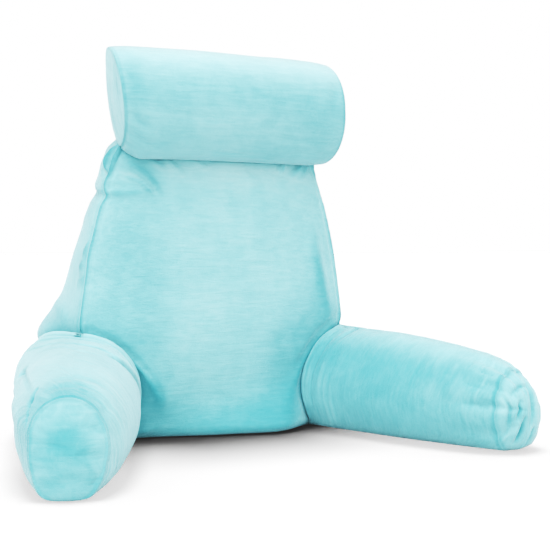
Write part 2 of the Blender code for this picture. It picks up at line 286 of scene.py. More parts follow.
def column(table, names, wanted, at):
    """One column of a section table at any places, as a smooth curve through its rows."""
    rows = np.array(table)
    knots, values = rows[:, 0], rows[:, names.index(wanted)]
    slopes = np.gradient(values, knots)
    at = np.clip(np.asarray(at, float), knots[0], knots[-1])
    row = np.clip(np.searchsorted(knots, at, side="right") - 1, 0, len(knots) - 2)
    width = knots[row + 1] - knots[row]
    u = (at - knots[row]) / width
    return (
        values[row] * (1 + 2 * u) * (1 - u) ** 2
        + slopes[row] * width * u * (1 - u) ** 2
        + values[row + 1] * u**2 * (3 - 2 * u)
        + slopes[row + 1] * width * u**2 * (u - 1)
    )


def eased(share, strength):
    """0 to 1, with the steps closer together near both ends."""
    return share - strength * np.sin(2 * math.pi * share) / (2 * math.pi)


def near(share, start):
    """0 up to a share, then rising to 1 at 1."""
    return np.clip((share - start) / (1 - start), 0, 1)


def hump(off, reach):
    """1 at 0, and falling away softly to both sides over a reach."""
    return np.exp(-((off / reach) ** 2))


def mound(a, b, at_a, at_b, reach_a, reach_b):
    """The same round a place in two coordinates."""
    return np.exp(-(((a - at_a) / reach_a) ** 2) - ((b - at_b) / reach_b) ** 2)


def circle(turn):
    """The cosine and the sine of a turn."""
    return np.cos(2 * math.pi * turn), np.sin(2 * math.pi * turn)


def ring(turn, length):
    """Places on a circle by their turn and its length, so that noise closes round a tube without a step."""
    radius = length / (2 * math.pi)
    cosine, sine = circle(turn)
    return radius * cosine, radius * sine


# ---- relief

NOISE_SLOPES = 1024
NOISE_GAIN = 1.6
HASH = np.array([73856093, 19349663, 83492791, 39916801])  # mixes a cell's whole numbers, up to four of them
HASH_MIX = 1274126177


def noise(seed, *coordinates):
    """Smooth noise from about -1 to 1, with a bump to each unit of the coordinates."""
    points = np.stack([np.ravel(c) for c in coordinates], axis=1)
    size = points.shape[1]
    slopes = np.random.default_rng(seed).normal(size=(NOISE_SLOPES, size))
    slopes /= np.linalg.norm(slopes, axis=1, keepdims=True)
    cell = np.floor(points).astype(np.int64)
    inside = points - cell
    ease = inside**3 * (inside * (inside * 6 - 15) + 10)
    total = np.zeros(len(points))
    for corner in itertools.product((0, 1), repeat=size):
        corner = np.array(corner)
        mixed = (cell + corner) @ HASH[:size]
        mixed = (mixed ^ (mixed >> 13)) * HASH_MIX
        picked = slopes[(mixed ^ (mixed >> 16)) % NOISE_SLOPES]
        share = np.prod(np.where(corner == 1, ease, 1 - ease), axis=1)
        total += share * np.einsum("ij,ij->i", picked, inside - corner)
    return NOISE_GAIN * total.reshape(np.shape(coordinates[0]))


def fold_relief(a, b, rows):
    """How far a list of folds pushes a surface in, at its own coordinates a and b."""
    depth = np.zeros_like(a)
    for row in rows:
        a0, b0, a1, b1, bow, width, deep = (length / 1000 for length in row[:7])
        skew = sum(row[7:])
        run = np.array([a1 - a0, b1 - b0])
        length = np.linalg.norm(run)
        run = run / length
        along = ((a - a0) * run[0] + (b - b0) * run[1]) / length
        aside = (b - b0) * run[0] - (a - a0) * run[1]
        inside = np.clip(along, 0, 1)
        off = aside - 4 * bow * inside * (1 - inside)
        taper = np.sin(math.pi * inside) ** FOLD_TAPER
        depth += deep * taper * hump(off, width * (1 + skew * np.sign(off)))
    return depth


def patches(a, b, rows):
    """A surface's tone from its list of patches: partly how its nap lies, partly painted light and shade."""
    tone = np.full(np.shape(a), 0.5)
    for *place, change in rows:
        tone += change * mound(a, b, *(number / 1000 for number in place))
    return tone


def ripple_relief(across, up, rows):
    """Small ripples in a panel's cloth."""
    return sum(height * noise(seed, across / wide, up / tall) for seed, height, wide, tall in rows)


def pucker_relief(distance, along, seed, amount=1.0):
    """The small puckers that run out from a seam, at places along it with one coordinate or more."""
    pucker = 0
    for step, (length, reach, share) in enumerate(PUCKERS):
        pucker = pucker + share * noise(seed + step, *(axis / length for axis in along), distance / reach)
    rise = np.minimum(distance / PUCKER_START, 1)
    return amount * PUCKER_HEIGHT * pucker * rise * np.exp(-distance / PUCKER_REACH)


def seam_relief(distance, along, seed):
    """How far a seam draws its cloth in, with the welts beside it and its puckers."""
    depth = SEAM_DEPTH * hump(distance, SEAM_WIDTH) - WELT_HEIGHT * hump(distance - WELT_PLACE, WELT_WIDTH)
    return depth + pucker_relief(distance, along, seed)


def swell_relief(points, seed, amount=1.0):
    """The uneven filling under a skin."""
    swell = sum(height * noise(seed + step, *(points / size).T) for step, (size, height) in enumerate(SWELLS))
    return amount * swell


# ---- meshes


def add_object(name, data):
    made = bpy.data.objects.new(name, data)
    bpy.context.scene.collection.objects.link(made)
    return made


def new_piece(name, points, faces, looks):
    mesh = bpy.data.meshes.new(name)
    mesh.from_pydata(np.asarray(points).tolist(), [], faces)
    mesh.shade_smooth()
    mesh.materials.append(looks)
    return add_object(name, mesh)


def vectors(items, part):
    found = np.empty(len(items) * 3, np.float32)
    items.foreach_get(part, found)
    return found.reshape(-1, 3).astype(float)


def places(piece):
    return vectors(piece.data.vertices, "co")


def normals(piece):
    return vectors(piece.data.vertex_normals, "vector")


def put(piece, points):
    piece.data.vertices.foreach_set("co", np.asarray(points, np.float32).ravel())
    piece.data.update()


def press_in(piece, depth):
    """Moves a piece's skin in along its normals and keeps the depth, which paints shade in folds and highlight
    on ridges.
    """
    put(piece, places(piece) - normals(piece) * depth[:, None])
    keep(piece, "fold", "FLOAT", "value", depth)


def keep(piece, name, kind, part, values):
    """Keeps a value at each point of a piece, for its material."""
    kept = piece.data.attributes.get(name) or piece.data.attributes.new(name, kind, "POINT")
    kept.data.foreach_set(part, np.asarray(values, np.float32).ravel())


def paint_fold_shade(piece, depth):
    """Paints the shade of folds that are deeper by some depth into a piece's skin, without moving it."""
    kept = np.empty(len(piece.data.vertices), np.float32)
    piece.data.attributes["fold"].data.foreach_get("value", kept)
    keep(piece, "fold", "FLOAT", "value", kept + depth)


def paint_seam_shade(piece, distance, depth):
    """Paints the shade of a fold into a piece's skin close to a seam."""
    paint_fold_shade(piece, depth * hump(np.maximum(distance, 0), SEAM_SHADE_REACH))


def set_nap_and_painted_light(piece, tone):
    """Keeps a piece's tone, nap and painted light and shade, from 0 where it looks deepest to 1 where it looks
    palest.
    """
    keep(piece, "nap_and_painted_light", "FLOAT", "value", tone)


def set_weave(piece, coordinates):
    """Keeps the coordinates in which a piece's nap lies in streaks, short across them and long along."""
    keep(piece, "weave", "FLOAT_VECTOR", "vector", coordinates)


def set_tube_weave(piece, *axes):
    """The same for a piece made of rings, from each coordinate's values on them."""
    set_weave(piece, np.stack([with_poles(axis) for axis in axes], axis=-1))


def apply_modifiers(piece):
    depsgraph = bpy.context.evaluated_depsgraph_get()
    mesh = bpy.data.meshes.new_from_object(piece.evaluated_get(depsgraph))
    piece.modifiers.clear()
    piece.data = mesh


def box_skin(counts):
    """The skin of a box of cells: its lattice points, three whole numbers each, and its quads facing out."""
    index, lattice, quads = {}, [], []

    def corner(place):
        if place not in index:
            index[place] = len(lattice)
            lattice.append(place)
        return index[place]

    for axis in range(3):
        one, two = (axis + 1) % 3, (axis + 2) % 3
        for side in (0, counts[axis]):
            steps = ((0, 0), (1, 0), (1, 1), (0, 1)) if side else ((0, 0), (0, 1), (1, 1), (1, 0))
            for i in range(counts[one]):
                for j in range(counts[two]):
                    quad = []
                    for di, dj in steps:
                        place = [0, 0, 0]
                        place[axis], place[one], place[two] = side, i + di, j + dj
                        quad.append(corner(tuple(place)))
                    quads.append(quad)
    return np.array(lattice), quads


def ring_faces(rings, sides):
    """Faces of a tube of rings with a fan to a pole at each end; the poles come after the rings."""
    faces = []
    for row in range(rings - 1):
        for i in range(sides):
            a, b = row * sides + i, row * sides + (i + 1) % sides
            faces.append([a, b, b + sides, a + sides])
    last, pole = (rings - 1) * sides, rings * sides
    for i in range(sides):
        faces.append([(i + 1) % sides, i, pole])
        faces.append([last + i, last + (i + 1) % sides, pole + 1])
    return faces


def volume(points, faces):
    """The volume inside a closed mesh, under 0 where its faces look in."""
    triangles = np.array([(face[0], *face[i : i + 2]) for face in faces for i in range(1, len(face) - 1)])
    a, b, c = (points[triangles[:, corner]] for corner in range(3))
    return np.einsum("ij,ij->", a, np.cross(b, c)) / 6


def tube_piece(name, rings, looks):
    """A closed piece over an array of rings of points, with its faces looking out."""
    rings = np.asarray(rings)
    count, sides = rings.shape[:2]
    points = np.concatenate([rings.reshape(-1, 3), [rings[0].mean(axis=0), rings[-1].mean(axis=0)]])
    faces = ring_faces(count, sides)
    if volume(points, faces) < 0:
        faces = [face[::-1] for face in faces]
    return new_piece(name, points, faces, looks)


def with_caps(values, caps, first=0, last=0):
    """Values on the rings of a tube's skin, with the same value on all the rings of the cap at each end."""
    before, after = (np.zeros((count, values.shape[1])) + value for count, value in zip(caps, (first, last)))
    return np.concatenate([before, values, after])


def with_poles(values):
    """Values on an array of rings, and those of the two poles after them."""
    values = np.asarray(values, float)
    return np.concatenate([values.ravel(), [values[0].mean(), values[-1].mean()]])


# ---- neck roll


def roll_place(offset, turn, scale=1.0, forward=0.0):
    """Places on the neck roll, offset from its middle, by the turn round it from its rear over its top."""
    cosine, sine = circle(turn)
    half = ROLL_LENGTH / 2
    at_end = near(abs(offset) / half, ROLL_SLIM_START)
    slim = (1 - ROLL_END_SLIM * at_end**2) * scale
    bend = np.arctan(2 * ROLL_BEND * offset / half**2)
    back = ROLL_HALF_DEPTH * slim * cosine
    left = np.maximum(-offset / half, 0) ** 3 * scale
    along = offset + forward * np.cos(bend) - back * np.sin(bend)
    along = along + left * (LEFT_END_REAR * np.maximum(cosine, 0) - LEFT_END_LEAN * sine)
    y = ROLL_BEND * (offset / half) ** 2 + forward * np.sin(bend) + back * np.cos(bend)
    right = np.maximum(offset / half, 0) ** 3 * scale
    along = along + right * RIGHT_END_LEAN * np.maximum(-sine, 0)
    z = ROLL_HALF_HEIGHT * slim * sine * np.where(sine > 0, ROLL_TOP_SLIM, ROLL_LOW_SLIM)
    z = z + LEFT_END_LIFT * left * at_end * np.maximum(-sine, 0)
    place = np.stack(np.broadcast_arrays(along, y, z), axis=-1)
    return place + np.array(ROLL_CENTRE) + np.array([0, SHIFT_Y, 0])


def rim_rings(half, part):
    """The rings of a rounded rim, as their scale and how far they are beyond its slit.

    The part "tube" is the half of the rim before the slit and "panel" the half after it.
    """
    slit = math.pi / 4
    start = 0 if part == "tube" else slit
    rings = []
    for turn in np.linspace(start, start + slit, RIM_STEPS + 1):
        scale = 1 - RIM_ROUND * (1 - math.cos(turn)) / half
        rings.append((scale, RIM_ROUND * (math.sin(turn) - math.sin(slit))))
    return rings


def tube_cap(half):
    """The rings of a tube's rim and of the flat cap behind its slit."""
    rim = rim_rings(half, "tube")[1:]
    return rim + [(scale, 0) for scale in (rim[-1][0] - RIM_LIP, *CAP_SCALES)]


def panel_shape(half, crown, fullness=2.0):
    """The rings of an end panel, from the middle of its back over its rim to the middle of its face.

    It also says how many of them are before its face.
    """
    rim = [(scale, SLIT + forward) for scale, forward in rim_rings(half, "panel")]
    behind = [(scale, SLIT) for scale in (*PANEL_BACK_SCALES, rim[0][0] - RIM_LIP)]
    edge_scale, edge = rim[-1]
    face = []
    for share in np.linspace(0, 1, PANEL_RINGS)[1:]:
        scale = edge_scale * (1 - FACE_SHARE * share)
        face.append((scale, edge + crown * (1 - (scale / edge_scale) ** fullness)))
    return behind + rim + face, len(behind) + len(rim)


def finish_panel(piece, depth, distance, hidden, shade):
    """Presses its relief into an end panel, except in its first, hidden rings, and paints shade along its seam.
    """
    depth = depth * np.clip(distance / RELIEF_START, 0, 1)
    depth[:hidden] = 0
    press_in(piece, with_poles(depth))
    paint_seam_shade(piece, with_poles(distance), shade)


ROLL_FOLDS = (  # a is the offset and b the turn times ROLL_ROUND
    (-160, 268, -128, 292, 2, 6, 2.2),
    (-164, 300, -118, 318, 2, 6, 2),
    (-60, 322, 70, 330, 2, 5, 1),
    (90, 316, 160, 322, 2, 6, 1.2),
    (40, 292, 120, 296, 2, 5, 0.9),
    (-110, 262, -30, 268, 2, 6, 0.8),
    (158, 200, 142, 262, 3, 8, 1.4),
)
ROLL_ROUND = 0.487  # length once round the roll
ROLL_START = 0.05  # the turn at which each of its rings starts
ROLL_SLIM_START = 0.80  # it gets slimmer from this share of its half length on
ROLL_SWELL = 0.7  # how strong the swell of its filling is
ROLL_ENDS_APART = 0.1  # keeps the noise at its two ends from being the same
STREAK = 0.12  # how wide a streak of the nap is for its length
ARM_STREAK = 0.25


def make_roll(looks):
    sides, rings = ROLL_CELLS
    half = ROLL_LENGTH / 2
    turn = np.arange(sides) / sides + ROLL_START
    reach = half - RIM_REACH
    offsets = reach * (2 * eased(np.linspace(0, 1, rings), EDGE_EASE) - 1)
    ends = tube_cap(ROLL_HALF_DEPTH)
    skin = [roll_place(offset, turn) for offset in offsets]
    first = [roll_place(-half, turn, scale, -forward) for scale, forward in ends]
    last = [roll_place(half, turn, scale, forward) for scale, forward in ends]
    piece = tube_piece("roll_cushion", first[::-1] + skin + last, looks)

    a, turn = np.meshgrid(offsets, turn, indexing="ij")
    distance = reach - abs(a)
    along_seams = (*ring(turn, ROLL_ROUND), ROLL_ENDS_APART * (a > 0))
    depth = fold_relief(a, turn * ROLL_ROUND, ROLL_FOLDS)
    depth += pucker_relief(distance, along_seams, 31, END_PUCKERS)
    depth += swell_relief(np.concatenate(skin), 51, ROLL_SWELL).reshape(a.shape)
    depth *= np.minimum(distance / RELIEF_START, 1)
    caps = (len(ends), len(ends))
    press_in(piece, with_poles(with_caps(depth, caps)))
    # Painted shade along the end seams.
    paint_seam_shade(piece, with_poles(with_caps(distance, caps)), ROLL_SEAM_SHADE)

    lengthwise = with_caps(a, caps, -half, half)
    turn = turn[0] + 0 * lengthwise
    # Tone patches: painted light and shade.
    set_nap_and_painted_light(piece, with_poles(patches(lengthwise, turn, ROLL_PATCHES)))
    set_tube_weave(piece, lengthwise * STREAK, *ring(turn, ROLL_ROUND))
    return piece


def make_roll_panel(name, side, looks):
    turn = np.arange(ROLL_CELLS[0]) / ROLL_CELLS[0] + ROLL_START
    offset = np.array(side * ROLL_LENGTH / 2)
    shape, hidden = panel_shape(ROLL_HALF_DEPTH, ROLL_PANEL_CROWN)
    rings = [roll_place(offset, turn, scale, side * forward) for scale, forward in shape]
    piece = tube_piece("roll_panel_" + name, rings, looks)
    scales = np.array([scale for scale, _ in shape])
    cosine, sine = circle(turn)
    across = np.outer(scales * ROLL_HALF_DEPTH, cosine)
    up = np.outer(scales * ROLL_HALF_HEIGHT, sine)
    distance = (scales[hidden - 1] - scales[:, None]) * ROLL_HALF_DEPTH + 0 * across
    along_seam = (*ring(turn + 0 * across, ROLL_ROUND), side + 0 * across)
    depth = pucker_relief(distance, along_seam, 61, END_PUCKERS)
    depth += ripple_relief(across, up, ROLL_PANEL_RIPPLES)
    finish_panel(piece, depth, distance, hidden, ROLL_SEAM_SHADE)
    set_tube_weave(piece, across, up * STREAK, 0 * up)
    # Tone patches: nap, and painted light and shade.
    set_nap_and_painted_light(piece, with_poles(patches(across, up, ROLL_PANEL_PATCHES[name])))
    return piece


# ---- back rest

SIDE_FOLDS = {  # a is y and b is z
    "left": (
        (3, 432, 5, 388, 3, 3.4, 8.5, 0.4),
        (18, 430, 8, 392, 0, 3, 3),
        (-4, 383, 26, 393, 0, 4.2, -4.2),
        (-6, 362, 85, 376, -4, 6, 5.5, 0.3),
        (4, 290, 20, 268, 0, 6, 2.8),
        (10, 262, 30, 246, 0, 7, 2.6),
        (4, 238, 34, 226, 0, 7, 2.2),
        (20, 330, 90, 322, 4, 10, 2),
        (40, 176, 150, 196, 4, 10, 4),
        (90, 420, 40, 440, 3, 8, 3),
    ),
    "right": (
        (2, 428, 16, 396, 0, 7, 7),
        (-2, 350, 70, 362, 3, 8, 3.5),
        (8, 282, 34, 262, 0, 7, 2.2),
        (10, 236, 50, 222, 0, 8, 2),
        (40, 180, 150, 198, -4, 10, 4),
        (85, 424, 38, 446, 3, 8, 3),
    ),
}
REAR_FOLDS = (  # a is x and b is z
    (-196, 70, -120, 118, 6, 11, 3.5, 0.2),
    (198, 82, 118, 112, 5, 11, 3, -0.2),
    (-134, 452, -88, 404, 4, 9, 4),
    (130, 456, 96, 412, 4, 8, 3.5),
    (-150, 330, -70, 322, 4, 12, 1.6),
    (60, 262, 156, 274, 4, 12, 1.8),
    (-60, 176, 60, 170, 6, 14, 1.4),
)
BASE_BULGES = (  # of the front panel's lower edge: x, z, reach in x and z, and how far it comes forward
    (-0.005, 0.000, 0.075, 0.035, 0.029),
    (0.092, 0.000, 0.062, 0.050, 0.042),
)
SIDE_BULGES = (  # of the side strips: y, z, reach in y and z, and how far out on the left and on the right
    (0.125, 0.150, 0.075, 0.034, 0.022, 0.012),
    (0.030, 0.419, 0.045, 0.031, 0.011, 0.005),
    (0.030, 0.372, 0.060, 0.020, 0.000, -0.005),
    (0.055, 0.366, 0.045, 0.012, -0.008, -0.004),
    (0.045, 0.351, 0.045, 0.010, 0.004, 0.002),
    (0.060, 0.290, 0.060, 0.045, 0.003, 0.003),
)
SEAM_SHIFTS = (  # where the left front seam strays: height, reach and how far out
    (0.374, 0.012, 0.004),
    (0.353, 0.010, -0.006),
    (0.268, 0.016, 0.0015),
)


EDGE = 1e-9
SHIFT_START = 0.8  # a seam strays from this share of the half width on
SIDE_ROUND = 0.8  # how full the strips are across: 0.5 is an ellipse and 1 a parabola
TOP_ROUND = 0.6
CROWN_SPREAD = 2.4  # how far towards the sides the panels' crowns reach, and how full they are there
CROWN_ROUND = 0.75
CORNER_EASE = 1.5  # how gently the corners are drawn in, and the shares from which on they are
REAR_CORNER_START = 0.6
TOP_CORNER_START = (0.55, 0.75)  # across and up
PARTS_APART = (0.7, 1.3, 2.1)  # keeps the noise from being the same at the top, the rear and the right
BACK_SEAM_SLIM = 1.4  # how much narrower the shade of its seams is than that of the others
SIDE_TONE_BLEND = (0.35, 0.3)  # where the skin faces sideways by more than this its tone patches are the strips', over a band
FRONT_DEPTH = 0.05  # how far behind the front seams the front panel's tone patches end


def back_form(s, t, v, on):
    """The back rest's skin, by the shares across it, up it and from front to rear, and which sides it is on.

    Besides its places it gives the half width of its front and its depth at each point. The high powers keep
    a bulge off the seams beside it.
    """
    z = t * BACK_SEAM_HEIGHT
    front_half, rear_half, rear, front_crown, rear_crown, side_bulge = (
        column(BACK_SECTIONS, BACK_COLUMNS, name, z) for name in BACK_COLUMNS[1:]
    )
    for height, reach, shift in SEAM_SHIFTS:
        front_half = front_half + shift * near(-s, SHIFT_START) ** 2 * hump(z - height, reach)
    x = s * (front_half + (rear_half - front_half) * v)
    y = rear * v
    swell = 4 * v * (1 - v)
    x = x + on["side"] * np.sign(s) * side_bulge * swell**SIDE_ROUND * (1 - t**10)
    z = z + on["top"] * BACK_TOP_RISE * swell**TOP_ROUND * (1 - s**4) ** 0.7
    crown = (1 - abs(s) ** CROWN_SPREAD) ** CROWN_ROUND
    y = y - on["front"] * front_crown * crown
    y = y + on["rear"] * rear_crown * crown
    for *place, bulge in BASE_BULGES:
        y = y - bulge * mound(x, z, *place) * (1 - v) ** 2 * (1 - abs(s) ** 6)
    for *place, left, right in SIDE_BULGES:
        x = x + on["side"] * np.where(s < 0, -left, right) * mound(y, z, *place)
    rear_corner = (near(abs(s), REAR_CORNER_START) * near(v, REAR_CORNER_START)) ** CORNER_EASE
    x = x - np.sign(s) * REAR_CORNER_PULL * rear_corner
    y = y - REAR_CORNER_PULL * rear_corner
    top_corner = (near(abs(s), TOP_CORNER_START[0]) * near(t, TOP_CORNER_START[1])) ** CORNER_EASE
    x = x - np.sign(s) * TOP_CORNER_PULL * top_corner
    z = z - TOP_CORNER_PULL * top_corner

    # The lowest few millimetres turn under.
    low = np.clip(1 - z / BASE_ROUND, 0, 1)
    inset = BASE_ROUND * (1 - np.sqrt(1 - low**2))
    middle_y = rear / 2
    x = x * (1 - inset / front_half)
    y = middle_y + (y - middle_y) * (1 - inset / (rear / 2))
    return x, y, z, front_half, rear


def back_seams(s, t, v, on, x, z, front_half, rear):
    """How far each point of the back rest is from a seam, and where along one."""
    to_side = (1 - abs(s)) * front_half
    to_top = (1 - t) * BACK_SEAM_HEIGHT
    top_apart, rear_apart, right_apart = PARTS_APART
    panel_along = np.where(to_side < to_top, z, x + top_apart)
    strip_along = np.where(on["top"], x + top_apart, z)
    on_panel = on["front"] | on["rear"]
    distance = np.where(on_panel, np.minimum(to_side, to_top), np.minimum(v, 1 - v) * rear)
    along = np.where(on_panel, panel_along, strip_along) + rear_apart * on["rear"] + right_apart * (s > 0)
    return distance, along


def back_relief(s, on, x, y, z, distance, along):
    """How far the seams, the folds and the cloth's ripples push the back rest's skin in."""
    depth = seam_relief(distance, (along,), 11) * ~on["base"]
    on_panel = on["front"] | on["rear"]
    inside = ~(on["side"] | on["top"])
    parts = [(on["front"] & inside, x, FRONT_FOLDS), (on["rear"] & inside, x, REAR_FOLDS)]
    for name, side in (("left", -1), ("right", 1)):
        parts.append((on["side"] & ~on_panel & (s * side > 0), y, SIDE_FOLDS[name]))
    for chosen, a, folds in parts:
        depth[chosen] += fold_relief(a, z, folds)[chosen]
    seed, height, across, up, deep = BACK_RIPPLES
    return depth + on_panel * height * noise(seed, x / across, z / up, y / deep)


def make_back(looks, roll):
    lattice, quads = box_skin(BACK_CELLS)
    s, t, v = (eased(lattice[:, axis] / cells, EDGE_EASE) for axis, cells in enumerate(BACK_CELLS))
    s = 2 * s - 1
    on = {"base": t < EDGE, "top": t > 1 - EDGE, "front": v < EDGE, "rear": v > 1 - EDGE}
    on["side"] = abs(s) > 1 - EDGE
    x, y, z, front_half, rear = back_form(s, t, v, on)
    piece = new_piece("back_cushion", np.stack([x, y + SHIFT_Y, z], axis=1), quads, looks)

    distance, along = back_seams(s, t, v, on, x, z, front_half, rear)
    depth = back_relief(s, on, x, y, z, distance, along)
    depth += swell_relief(places(piece), 23) * np.minimum(distance / SWELL_START, 1)
    press_in(piece, depth * np.clip(z / FLOOR_CALM, 0, 1))
    # Painted shade along the seams.
    paint_seam_shade(piece, BACK_SEAM_SLIM * distance + on["base"], BACK_SEAM_SHADE)
    hollow_for(piece, roll)

    at = places(piece)
    set_weave(piece, at * (STREAK, 1, 1))
    # The tone patches, nap and painted light and shade, of the panels and, where the skin faces sideways, of
    # the strips.
    start, band = SIDE_TONE_BLEND
    side_on = np.clip((abs(normals(piece)[:, 0]) - start) / band, 0, 1)
    front = patches(at[:, 0], at[:, 2], BACK_PATCHES)
    side = patches(at[:, 1] - SHIFT_Y, at[:, 2], SIDE_PATCHES)
    front = np.where(at[:, 1] < SHIFT_Y + FRONT_DEPTH, front, 0.5)
    set_nap_and_painted_light(piece, front + (side - front) * side_on)
    return piece


def hollow_for(piece, roll):
    """Takes the roll's room, and a little more, out of the back rest."""
    cutter = add_object("roll_room", roll.data.copy())
    put(cutter, places(cutter) + normals(cutter) * ROLL_CLEARANCE)
    cut = piece.modifiers.new("roll_room", "BOOLEAN")
    cut.operation = "DIFFERENCE"
    cut.solver = "EXACT"
    cut.object = cutter
    apply_modifiers(piece)
    bpy.data.objects.remove(cutter)


# ---- arms

ARM_ROUND = 0.42  # length once round an arm, about
ARM_LENGTH = 0.50  # length of its path, about
ARM_END_HALF = ARM_SECTIONS[-1][1]  # half the width of its end
LOW_FLANK = 0.88  # how much less square an arm is below its middle
ROOT_SWELL = 0.06  # how much higher an arm is at its root than in the CAD, and around which share of its path
ROOT_SWELL_PLACE = 0.10
ROOT_SWELL_REACH = 0.12
ROOT_DENT = 0.005  # how far the back rest is drawn in along an arm's root seam, with painted shade as deep, and how wide
ROOT_DENT_REACH = 0.011
ROOT_DENT_CALM = 0.020  # below this height it fades out towards the floor
ROOT_SEARCH = np.linspace(0, 0.7, 141)  # the shares of an arm's path between which its root is looked for
ROOT_EASE = 5  # over how many lines to each side the root seam is eased
ROOT_CAP_SCALES = (0.1, 0.3, 0.5, 0.7, 0.85, 0.95)  # the rings of the hidden cap in the root
ROOT_PRESSED = 0.02  # how far from its root an arm is kept out of the back rest
PRESSED_REACH = 0.06  # and how deep in it a point may lie for that
TUCK_SHARE = {"left": 0.3, "right": 1.0}  # how deep an arm's tucks are, as a share of the CAD's
OUTER_TAPER = {"left": 0.085, "right": 0.0}  # how much narrower an arm's outer side gets towards the floor
TAPER_TOP = (0.085, 0.020)  # the height below which it does, and the band over which that begins
TAPER_FOOT = (0.030, 0.3)  # below this height it does so less, down to this share
END_LEAN = {"left": 0.019, "right": 0.0}  # how far the foot of an arm's end comes forward
LEAN_START = 0.8  # the share of its path from which on it does, and the height below which
LEAN_HEIGHT = 0.10
TUCK_EASE = 1.5  # how gently the tucks begin
CREASES = (  # the fine creases round an arm: seed, share, width along the arm and length round it
    (74, 1.0, 0.0085, 0.075),
    (75, 0.5, 0.0045, 0.050),
)
CREASE_LEAST = 0.4  # how deep they are in its middle, and how far they get deeper towards its two seams
CREASE_REACHES = (0.05, 0.09)
CREASE_START = 0.010  # how far from the end seam they are full
CREASE_HEIGHT = 0.0007
CREASE_SHADE = 0.0016  # how deep the painted shade in them is besides, as a fold depth
PANEL_FULLNESS = {"left": 2.0, "right": 3.2}  # of an end panel's crown: above 2 its middle is flatter
ARM_FOLDS = {  # a is the distance along from the root seam and b the turn times ARM_ROUND
    "left": (
        (5, 10, 5, 230, 0, 7, -2.5),
        (19, 20, 19, 225, 0, 4.5, 4.5),
        (52, 50, 38, 140, 0, 6, 5.5),
        (98, 40, 108, 94, 0, 4.5, 3.6),
        (116, 90, 100, 160, 18, 3.8, 7.5),
        (114, 136, 20, 214, -4, 3.8, 8.5),
        (98, 138, 10, 208, -4, 6, -4),
        (150, 60, 145, 130, 0, 7, 1.6),
    ),
    "right": (
        (5, 10, 5, 230, 0, 7, -1.8),
        (21, 30, 21, 215, 0, 7, 2.6),
        (46, 60, 36, 150, 0, 6, 3.5),
        (90, 50, 82, 130, 0, 6, 2),
    ),
}
ARM_END_FOLDS = {  # a is the distance along from the end seam and b the turn times ARM_ROUND
    "left": (
        (36, 57, 290, 34, 2, 2.6, 3.2),
        (236, 46, 282, 30, 0, 4.2, 7.5),
        (50, 66, 20, 47, 0, 3, 7.5, 0.3),
        (26, 52, 6, 28, 0, 2.2, 1.8),
        (22, 70, 26, 140, 3, 6, 1.4),
        (40, 80, 48, 150, 3, 7, 1.2),
    ),
    "right": (
        (18, 53, 260, 33, 0, 2.2, 2),
        (6, 176, 50, 172, 2, 4, 1.8),
        (6, 150, 40, 146, 2, 4, 2),
        (6, 206, 44, 204, -2, 4, 1.8),
        (30, 120, 40, 200, 4, 8, 1.2),
    ),
}
PANEL_FOLDS = {  # a is across the arm, over 0 on its outer side, and b is z
    "left": (
        (-36, 76, -4, 82, 2, 4, 1.4),
        (-40, 46, -10, 52, 2, 5, 1.6),
        (4, 62, 36, 58, 2, 6, 1.2),
        (-20, 24, 20, 22, 2, 6, 1.2),
        (-42, 30, -28, 14, 1, 3, 1.4),
    ),
    "right": (
        (34, 88, 24, -24, 0, 26, -7.2),
        (-40, 86, -10, 106, 8, 3.4, 6, 0.4),
        (-36, 82, -34, 18, 2, 2.6, 4.5),
        (-30, 78, 6, 90, 6, 3, 4),
        (-20, 74, -26, 44, 1, 3.4, 5, 0.3),
        (-12, 52, -20, 12, 1, 3.8, 6),
        (4, 94, 0, 36, 3, 3.4, 4),
        (8, 36, 2, 4, 0, 4, 5),
        (24, 86, 20, 24, 3, 3.6, 4),
    ),
}


def arm_frame(share):
    """Of the right arm: the points of its path at some shares, and the directions along it and across it."""
    here, ahead, behind = (
        np.stack([column(ARM_PATH, ARM_PATH_COLUMNS, axis, share + step) for axis in "xy"], axis=-1)
        for step in (0, 0.01, -0.01)
    )
    along = ahead - behind
    along = along / np.linalg.norm(along, axis=-1, keepdims=True)
    return here, along, np.stack([-along[..., 1], along[..., 0]], axis=-1)


def tuck_relief(name, turn):
    depth = np.zeros_like(turn)
    for at, width, deep in ARM_TUCKS[name]:
        off = (turn - at + 0.5) % 1 - 0.5
        depth += deep * hump(2 * off, width)
    return depth * TUCK_SHARE[name]


